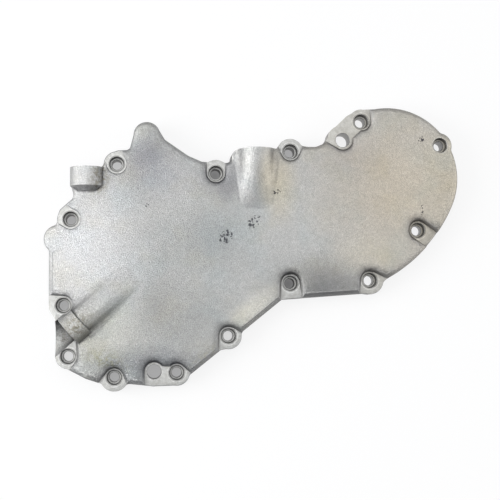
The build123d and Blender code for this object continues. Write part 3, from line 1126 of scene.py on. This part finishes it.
    def on_mouth(self, edge: bmesh.types.BMEdge, hole: RoundHole, radius: float) -> bool:
        """Whether an edge runs round a hole at a radius, in millimetres."""
        return max(abs(hole.away(v.co.x, v.co.y) - radius) for v in edge.verts) < self.ring_slack

    def on_lug(self, edge: bmesh.types.BMEdge, holes: list[RoundHole]) -> bool:
        """Whether an edge lies between the top and the side of a lug.

        Args:
            edge: The edge.
            holes: The casting's round holes.

        Returns:
            True where it does.
        """
        a, b = (v.co for v in edge.verts)
        ups = [f.normal.z for f in edge.link_faces]
        reach = min(hole.away((a.x + b.x) / 2, (a.y + b.y) / 2) for hole in holes)
        return (self.pad_low_z * MM < min(a.z, b.z) and max(a.z, b.z) < self.pad_high_z * MM
                and max(ups) >= self.lug_top_up and min(ups) <= self.lug_side_up
                and self.lug_start < reach < self.lug_reach)

    def ease_edges(self, body: Body, holes: list[RoundHole]) -> None:
        """Breaks the sharp edges of the lugs and the screw holes.

        Args:
            body: The casting.
            holes: Its round holes.
        """
        for radius in (self.head_r, self.screw_r, self.locator_r):
            mouths = [e for e in self.corners_out(body) if e.verts[0].co.z >= self.mouth_low_z * MM
                      and any(self.on_mouth(e, hole, radius) for hole in holes)]
            made = bmesh.ops.bevel(body, geom=mouths, offset=self.mouth_ease * MM, segments=1, profile=0.5,
                                   affect="EDGES", clamp_overlap=True)
            for face in made["faces"]:
                face.material_index = Region.DRILLED.value
            log.info("eased %d edges at %.2f mm", len(mouths), radius)
        lugs = [e for e in self.corners_out(body) if self.on_lug(e, holes)]
        # Each lug is eased by itself, because one tight corner holds back all the edges of a call.
        for chain in chains_of(lugs):
            bmesh.ops.bevel(body, geom=chain, offset=self.lug_ease * MM, segments=self.lug_steps, profile=0.5,
                            affect="EDGES", clamp_overlap=True)
        log.info("eased %d edges of the lugs", len(lugs))

    def region_of(self, face: bmesh.types.BMFace, holes: list[RoundHole]) -> Region:
        """What kind of surface a face belongs to.

        Args:
            face: The face.
            holes: The casting's round holes.

        Returns:
            The kind of surface.
        """
        centre, up = face.calc_center_median(), face.normal.z
        reaches = [hole.away(centre.x, centre.y) for hole in holes]
        nearest = min(reaches)
        low = self.seat_low_z if nearest < self.spot_r else self.pad_low_z
        if up > self.pad_up and nearest < self.lug_reach and low * MM < centre.z < self.pad_high_z * MM:
            return Region.PAD
        breather_gap = abs(centre.y - self.breather_end_y * MM)
        if face.normal.y > self.floor_up and breather_gap < self.breather_slack * MM:
            return Region.MACHINED
        for hole, reach in zip(holes, reaches):
            cut_r = self.head_r if hole.for_screw else hole.radius / MM
            if reach < cut_r + self.drilled_slack:
                return Region.DRILLED if abs(up) < self.upright_up else Region.MACHINED
        on_gasket = up < -self.floor_up and centre.z < self.gasket_high_z * MM
        return Region.MACHINED if on_gasket else Region.SKIN

    def mark_bends(self, mesh: bpy.types.Mesh) -> None:
        """Writes the marks "hollow" and "rim": where the surface bends in, and where it bends out.

        Args:
            mesh: The casting's finished mesh.
        """
        body = bmesh.new()
        body.from_mesh(mesh)
        marks = {"hollow": np.zeros(len(body.verts)), "rim": np.zeros(len(body.verts))}
        for vert in body.verts:
            bends = [e.calc_face_angle_signed(0.0) for e in vert.link_edges if len(e.link_faces) == 2]
            if bends:
                marks["hollow"][vert.index] = min(1.0, max(0.0, -min(bends)) / self.full_bend)
                marks["rim"][vert.index] = min(1.0, max(0.0, max(bends)) / self.full_bend)
        body.free()
        for name, values in marks.items():
            mesh.attributes.new(name, "FLOAT", "POINT").data.foreach_set("value", values.astype(np.float32))

    def build(self) -> bpy.types.Object:
        """Builds the casting and puts it in the CAD node's place.

        Returns:
            The casting.
        """
        body = self.merged()
        rings = self.gasket_rings(body)
        holes = self.round_holes(rings)
        log.info("casting: %d rings, %d round holes", len(rings), len(holes))
        self.outline = rings[0]
        self.refine_face(body)
        self.shape(body)
        body.normal_update()
        self.ease_edges(body, holes)
        body.normal_update()
        for face in body.faces:
            if face.material_index == Region.SKIN.value:
                face.material_index = self.region_of(face, holes).value
        mesh = plain_mesh("cover_skin", body)
        self.mark_bends(mesh)
        mesh.shade_smooth()
        mesh.set_sharp_from_angle(angle=radians(self.sharp_angle))
        for finish in (self.skin, self.machined, self.drilled):
            mesh.materials.append(finish.make())
        mesh.materials.append(self.pad.make([hole for hole in holes if hole.for_screw]))
        piece = placed("cover_skin", mesh)
        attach(piece, "root")
        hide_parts("cover_casting")
        return piece


@dataclass(frozen=True)
class Port:
    """A tapped port: where its mouth lies, its way in as degrees from +X, and how deep its thread goes."""
    name: str
    mouth: Triple
    heading: float
    depth: float

    def turns(self) -> Triple:
        """Turns about X, Y and Z that lay the Z axis along the port, in radians."""
        return 0.0, radians(90), radians(self.heading)


@dataclass
class PortThreads:
    """The pipe threads inside the breather port and the oil port.

    The oil port's mouth is given by its distance and direction from the pinion shaft, where the port points.
    """
    wall_r: float = 7.33
    pitch: float = 1.41
    crest: float = 0.42
    lead_in: float = 0.9
    facets: int = 40
    ridge_sides: int = 4
    breather_mouth: Triple = (-55.7, 56.4, 14.0)
    breather_depth: float = 12.0
    oil_far: float = 91.0
    oil_side: float = 221.4
    oil_z: float = 16.5
    oil_depth: float = 14.0
    finish: DrilledWall = DrilledWall("port_thread", srgb(150, 149, 147))

    def ports(self) -> tuple[Port, Port]:
        """The breather port and the oil port.

        Returns:
            The two ports.
        """
        side = radians(self.oil_side)
        mouth = (self.oil_far * cos(side), self.oil_far * sin(side), self.oil_z)
        return (Port("breather_thread", self.breather_mouth, -90, self.breather_depth),
                Port("oil_port_thread", mouth, self.oil_side - 180, self.oil_depth))

    def tree(self) -> bpy.types.NodeTree:
        """The node group that winds one thread.

        Returns:
            The node group, with the thread's sizes as its inputs.
        """
        group = bpy.data.node_groups.new("port_thread", "GeometryNodeTree")
        inputs = (("Wall Radius", "Float"), ("Turns", "Float"), ("Length", "Float"), ("Crest", "Float"),
                  ("Mouth", "Vector"), ("Direction", "Rotation"), ("Finish", "Material"))
        for name, kind in inputs:
            group.interface.new_socket(name, in_out="INPUT", socket_type="NodeSocket" + kind)
        group.interface.new_socket("Geometry", in_out="OUTPUT", socket_type="NodeSocketGeometry")
        kinds = ("NodeGroupInput", "GeometryNodeCurveSpiral", "GeometryNodeSetCurveNormal",
                 "GeometryNodeCurvePrimitiveCircle", "GeometryNodeCurveToMesh", "GeometryNodeTransform",
                 "GeometryNodeRealizeInstances", "GeometryNodeSetMaterial", "NodeGroupOutput")
        nodes = [group.nodes.new(kind) for kind in kinds]
        sizes, helix, upright, section, ridge, lay, realize, paint, end = nodes
        helix.inputs["Resolution"].default_value = self.facets
        section.inputs["Resolution"].default_value = self.ridge_sides
        ridge.inputs["Fill Caps"].default_value = True
        upright.mode = "Z_UP"
        for source, output, target, socket in (
                (sizes, "Wall Radius", helix, "Start Radius"), (sizes, "Wall Radius", helix, "End Radius"),
                (sizes, "Turns", helix, "Rotations"), (sizes, "Length", helix, "Height"),
                (sizes, "Crest", section, "Radius"), (helix, "Curve", upright, "Curve"),
                (upright, "Curve", ridge, "Curve"), (section, "Curve", ridge, "Profile Curve"),
                (ridge, "Mesh", lay, "Geometry"), (sizes, "Mouth", lay, "Translation"),
                (sizes, "Direction", lay, "Rotation"), (lay, "Geometry", realize, "Geometry"),
                (realize, "Geometry", paint, "Geometry"), (sizes, "Finish", paint, "Material"),
                (paint, "Geometry", end, "Geometry")):
            group.links.new(source.outputs[output], target.inputs[socket])
        return group

    def wind(self, port: Port, group: bpy.types.NodeTree, finish: bpy.types.Material) -> bpy.types.Object:
        """Winds the thread of one port and makes it a plain mesh.

        Args:
            port: The port.
            group: The node group.
            finish: The thread's material.

        Returns:
            The thread.
        """
        holder = placed("holder", bpy.data.meshes.new("holder"))
        modifier = holder.modifiers.new("thread", "NODES")
        modifier.node_group = group
        turns = port.turns()
        run = Vector((0, 0, 1))
        run.rotate(Matrix.Rotation(turns[2], 3, "Z") @ Matrix.Rotation(turns[1], 3, "Y"))
        length = port.depth - 2 * self.lead_in
        values = {"Wall Radius": self.wall_r * MM, "Turns": length / self.pitch, "Length": length * MM,
                  "Crest": self.crest * MM, "Mouth": (Vector(port.mouth) + run * self.lead_in) * MM,
                  "Direction": turns, "Finish": finish}
        for socket in group.interface.items_tree:
            if socket.in_out == "INPUT":
                modifier[socket.identifier] = values[socket.name]
        bpy.context.view_layer.update()
        seen = holder.evaluated_get(bpy.context.evaluated_depsgraph_get())
        mesh = bpy.data.meshes.new_from_object(seen)
        mesh.name = port.name
        bpy.data.objects.remove(holder)
        return placed(port.name, mesh)

    def build(self) -> list[bpy.types.Object]:
        """Makes the threads of both ports.

        Returns:
            The threads.
        """
        group, finish = self.tree(), self.finish.make()
        threads = []
        for port in self.ports():
            thread = self.wind(port, group, finish)
            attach(thread, "root")
            threads.append(thread)
        return threads


@dataclass
class ShaftBushes:
    """The pressed-in bushes and their lock pins, which keep their CAD shapes."""
    bronze: BearingBronze = BearingBronze()
    steel: GroundSteel = GroundSteel()

    def build(self) -> list[bpy.types.Object]:
        """Dresses the CAD nodes.

        Returns:
            The bushes and pins.
        """
        bronze, steel = self.bronze.make(), self.steel.make()
        dressed = [node for name, node in sorted(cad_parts.items()) if "bush" in name]
        for node in dressed:
            for slot in node.material_slots:
                slot.material = steel if node.name.endswith("_pin") else bronze
        return dressed


@dataclass(frozen=True)
class Softbox:
    """A square lamp: its name, its place and side in millimetres, and its power in watts."""
    name: str
    place: Triple
    side: float
    power: float


@dataclass
class Studio:
    """A white floor with a grey sheet of painted shadow under the cover, soft lamps above the upper left and
    a camera almost straight above.

    The sky's level and height are shares of its direction along +Y and +Z, between which its tones change.
    """
    camera_place: Triple = (-10.72, -52.13, 860.0)
    camera_right: Triple = (0.9964634, -0.0024756, 0.0839915)
    camera_up: Triple = (-0.0024756, 0.9982671, 0.0587940)
    focal_px: float = 1184.3
    picture_px: float = 500.0
    sensor_mm: float = 36.0
    clip_m: tuple[float, float] = (0.01, 20.0)
    floor_half: float = 1500.0
    floor_gap: float = 0.2
    sky_top: RGB = (0.83, 0.84, 0.86)
    sky_low: RGB = (0.03, 0.035, 0.05)
    sky_level: tuple[float, float] = (-0.92, -0.1)
    horizon: RGB = (0.05, 0.05, 0.065)
    sky_height: tuple[float, float] = (-0.05, 0.8)
    # The grey sheet of painted shadow under the cover: how far it reaches along X, how far it stays inside
    # the outline, and its paint, with lighter and darker patches under some holes.
    shadow_sheet_half_width: float = 105.0
    shadow_sheet_inset: float = 2.5
    paint: FloorPaint = FloorPaint()
    shade: FloorPaint = FloorPaint(paper=srgb(120, 120, 122), glow=0.36, patches=(
        ToneSpot(-68.4, -77.7, 22, 18, 0, srgb(190, 190, 190), 0.28),
        ToneSpot(45.2, -63.6, 22, 18, 0, srgb(190, 190, 190), 0.28),
        ToneSpot(-34.6, 58.8, 20, 16, 0, srgb(170, 170, 172), 0.14),
        ToneSpot(89.8, -26.0, 14, 14, 0, srgb(70, 70, 72), -0.22),
        ToneSpot(36.2, 53.0, 14, 14, 0, srgb(70, 70, 72), -0.18),
    ))
    lamps: tuple[Softbox, ...] = (
        Softbox("softbox_left", (-1300, -60, 760), 1000, 18),
        Softbox("softbox_top", (-300, 350, 1500), 1100, 4),
        Softbox("fill_right", (1350, 60, 420), 900, 5),
    )
    lamp_aim: Triple = (60, 0, 0)

    def camera(self) -> None:
        """Places the camera."""
        right, up = Vector(self.camera_right).normalized(), Vector(self.camera_up)
        back = right.cross(up).normalized()
        up = back.cross(right)
        data = bpy.data.cameras.new("camera")
        data.sensor_width = self.sensor_mm
        data.lens = self.focal_px * self.sensor_mm / self.picture_px
        data.clip_start, data.clip_end = self.clip_m
        camera = placed("camera", data)
        turn = Matrix((right, up, back)).transposed().to_4x4()
        camera.matrix_world = Matrix.Translation(Vector(self.camera_place) * MM) @ turn
        bpy.context.scene.camera = camera

    def floor(self) -> None:
        """Lays the floor just below the gasket face."""
        mesh = bpy.data.meshes.new("floor")
        half, low = self.floor_half * MM, -self.floor_gap * MM
        square = [(-half, -half, low), (half, -half, low), (half, half, low), (-half, half, low)]
        mesh.from_pydata(square, [], [(0, 1, 2, 3)])
        mesh.materials.append(self.paint.make())
        placed("floor", mesh)

    def paper(self, outline: list[Vector]) -> None:
        """Lays a grey sheet of painted shadow under the cover, which shows through the screw holes of the
        wide end.

        Args:
            outline: The cover's outline in the gasket face, in metres.
        """
        body = bmesh.new()
        low = -self.floor_gap / 2 * MM
        sheet = body.faces.new([body.verts.new((co.x, co.y, low)) for co in outline])
        if sheet.normal.z < 0:
            sheet.normal_flip()
        rim = bmesh.ops.inset_region(body, faces=[sheet], thickness=self.shadow_sheet_inset * MM, use_boundary=True)
        bmesh.ops.delete(body, geom=rim["faces"], context="FACES")
        left = list(body.verts) + list(body.edges) + list(body.faces)
        bmesh.ops.bisect_plane(body, geom=left, plane_co=(self.shadow_sheet_half_width * MM, 0, 0),
                               plane_no=(1, 0, 0), clear_outer=True)
        mesh = plain_mesh("painted_shadow_under_cover", body)
        mesh.materials.append(self.shade.make())
        placed("painted_shadow_under_cover", mesh)

    def sky(self) -> None:
        """A soft sky, bright above the cover's upper edge and dark below it, and plain to the camera."""
        tree = ShaderTree("studio", world=True)
        split = tree.add("ShaderNodeSeparateXYZ")
        tree.join(tree.coordinates["Generated"], split.inputs[0])
        level = tree.ramp(split.outputs["Y"], *self.sky_level)
        height = tree.ramp(split.outputs["Z"], *self.sky_height)
        colour = tree.colour(Blend.MIX, level, self.sky_low, self.sky_top)
        colour = tree.colour(Blend.MIX, height, self.horizon, colour)
        soft, plain = tree.add("ShaderNodeBackground"), tree.add("ShaderNodeBackground")
        tree.join(colour, soft.inputs["Color"])
        seen = tree.add("ShaderNodeLightPath").outputs["Is Camera Ray"]
        surface = tree.choose(seen, soft.outputs[0], plain.outputs[0])
        bpy.context.scene.world = tree.end(surface, "ShaderNodeOutputWorld")

    def light(self, box: Softbox) -> None:
        """Hangs a lamp.

        Args:
            box: The lamp.
        """
        data = bpy.data.lights.new(box.name, "AREA")
        data.shape, data.size, data.energy = "SQUARE", box.side * MM, box.power
        towards = (Vector(self.lamp_aim) - Vector(box.place)).to_track_quat("-Z", "Y").to_matrix().to_4x4()
        placed(box.name, data).matrix_world = Matrix.Translation(Vector(box.place) * MM) @ towards

    def build(self, outline: list[Vector]) -> None:
        """Sets up the whole studio.

        Args:
            outline: The cover's outline in the gasket face, in metres.
        """
        self.camera()
        self.floor()
        # A grey sheet of painted shadow under the cover.
        self.paper(outline)
        self.sky()
        for box in self.lamps:
            self.light(box)
        bpy.context.scene.view_settings.view_transform = "Standard"


def main() -> None:
    """Builds the cover and its surroundings, and logs the dressed pieces and their face counts."""
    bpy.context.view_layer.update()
    cover = CastCover()
    casting = cover.build()
    log.info("casting dressed: %d faces", len(casting.data.polygons))
    Studio().build(cover.outline)
    for thread in PortThreads().build():
        log.info("wound %s: %d faces", thread.name, len(thread.data.polygons))
    for piece in ShaftBushes().build():
        log.info("dressed %s", piece.name)


if __name__ == "__main__":
    logging.basicConfig(level=logging.INFO, format="%(name)s: %(message)s")
    main()
